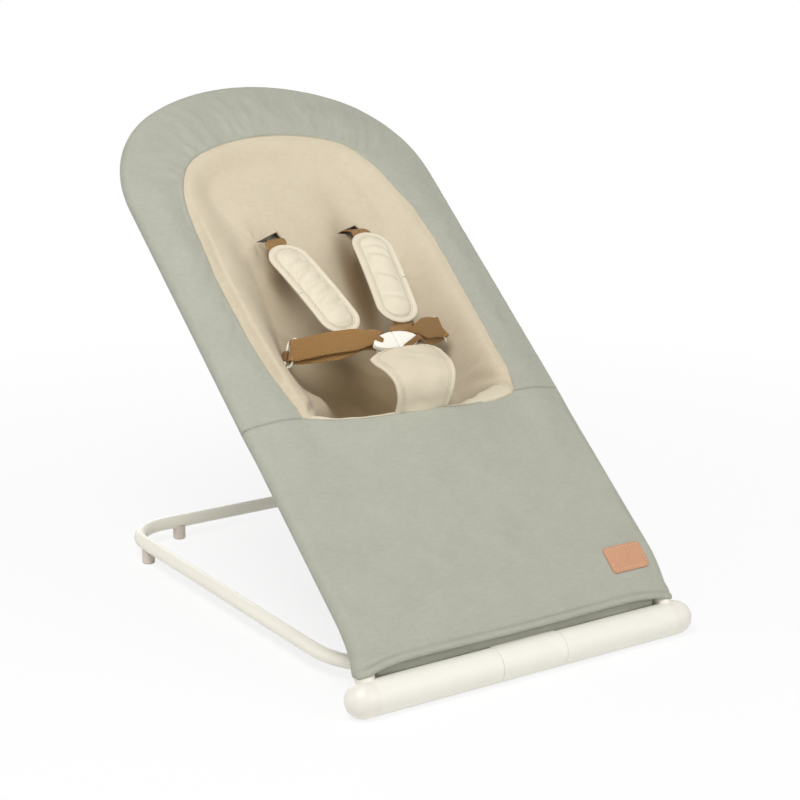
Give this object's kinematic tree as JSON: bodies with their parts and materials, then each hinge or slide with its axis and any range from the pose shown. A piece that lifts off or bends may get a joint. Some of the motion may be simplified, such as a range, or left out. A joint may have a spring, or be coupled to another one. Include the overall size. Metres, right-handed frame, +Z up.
{
  "type": "bouncer seat",
  "caption": "Low fabric bouncer seat for a baby: a padded sling on a bent tube hoop, hinged on a round floor bar to a flat tube base, with a buckled harness.",
  "frame": {"origin": "on the floor, under the middle of the part's box", "axes": "+X along the floor bar to the sitter's left as seen from the front, +Y towards the head end, +Z up"},
  "size_m": [0.44, 0.6302, 0.5436],
  "materials": {
    "green_fabric": "soft sage knit, lightly padded",
    "cream_fabric": "cream woven lining",
    "pad_fabric": "cream padded cotton, bound edge",
    "webbing": "tan ribbed webbing",
    "patch_leather": "tan grain, stitched",
    "tube_paint": "warm white satin paint",
    "bar_plastic": "fine satin moulding",
    "foot_rubber": "matt warm grey",
    "bearing_plastic": "natural",
    "steel": "bright zinc",
    "buckle_plastic": "off-white, soft gloss"
  },
  "bodies": {
    "base": {"base_tube": "tube_paint", "side_foot_left": "foot_rubber", "side_foot_right": "foot_rubber", "rear_foot_left": "foot_rubber", "rear_foot_right": "foot_rubber", "hub_upper_shell": "bar_plastic", "hub_lower_shell": "bar_plastic", "hub_screws": "steel", "hub_bush_left": "bearing_plastic", "hub_bush_right": "bearing_plastic", "detent_spring": "steel"},
    "seat": {"cover_border": "green_fabric", "lower_panel": "green_fabric", "back_panel": "green_fabric", "seat_bucket": "cream_fabric", "crotch_panel": "cream_fabric", "shoulder_strap_left": "webbing", "shoulder_strap_right": "webbing", "waist_strap_left": "webbing", "waist_strap_right": "webbing", "waist_anchor_left": "webbing", "waist_anchor_right": "webbing", "leather_patch": "patch_leather", "hoop_tube": "tube_paint", "bar_sleeve_left": "bar_plastic", "bar_sleeve_right": "bar_plastic", "end_cap_left": "bar_plastic", "end_cap_right": "bar_plastic", "sleeve_spacer_left": "bearing_plastic", "sleeve_spacer_right": "bearing_plastic", "axle_tube": "steel", "detent_wheel": "steel", "wheel_pin": "steel", "leg_screws": "steel", "button_spring": "steel", "buckle_front": "buckle_plastic", "buckle_back": "buckle_plastic", "buckle_tongue_left": "buckle_plastic", "buckle_tongue_right": "buckle_plastic", "waist_ring_left": "buckle_plastic", "waist_ring_right": "buckle_plastic"},
    "buckle_button": {"buckle_button": "buckle_plastic"},
    "shoulder_pad_left": {"shoulder_pad_left": "pad_fabric"},
    "shoulder_pad_right": {"shoulder_pad_right": "pad_fabric"}
  },
  "joints": [
    {"name": "recline", "type": "hinge", "parent": "base", "child": "seat", "pos_m": [0, -0.29655, 0.0185], "axis": [1, 0, 0], "range_deg": [-30, 0], "deforming": ["detent_spring"]},
    {"name": "buckle_press", "type": "slide", "parent": "seat", "child": "buckle_button", "axis": [0, 0.6293, -0.7771], "range_m": [0, 0.002], "stiffness_N_per_m": 1500, "springref_m": -0.002, "deforming": ["button_spring"]},
    {"name": "pad_slide_left", "type": "slide", "parent": "seat", "child": "shoulder_pad_left", "axis": [0.1314, -0.9125, -0.3873], "range_m": [-0.003, 0.005]},
    {"name": "pad_slide_right", "type": "slide", "parent": "seat", "child": "shoulder_pad_right", "axis": [-0.1314, -0.9125, -0.3873], "range_m": [-0.003, 0.005]}
  ]
}
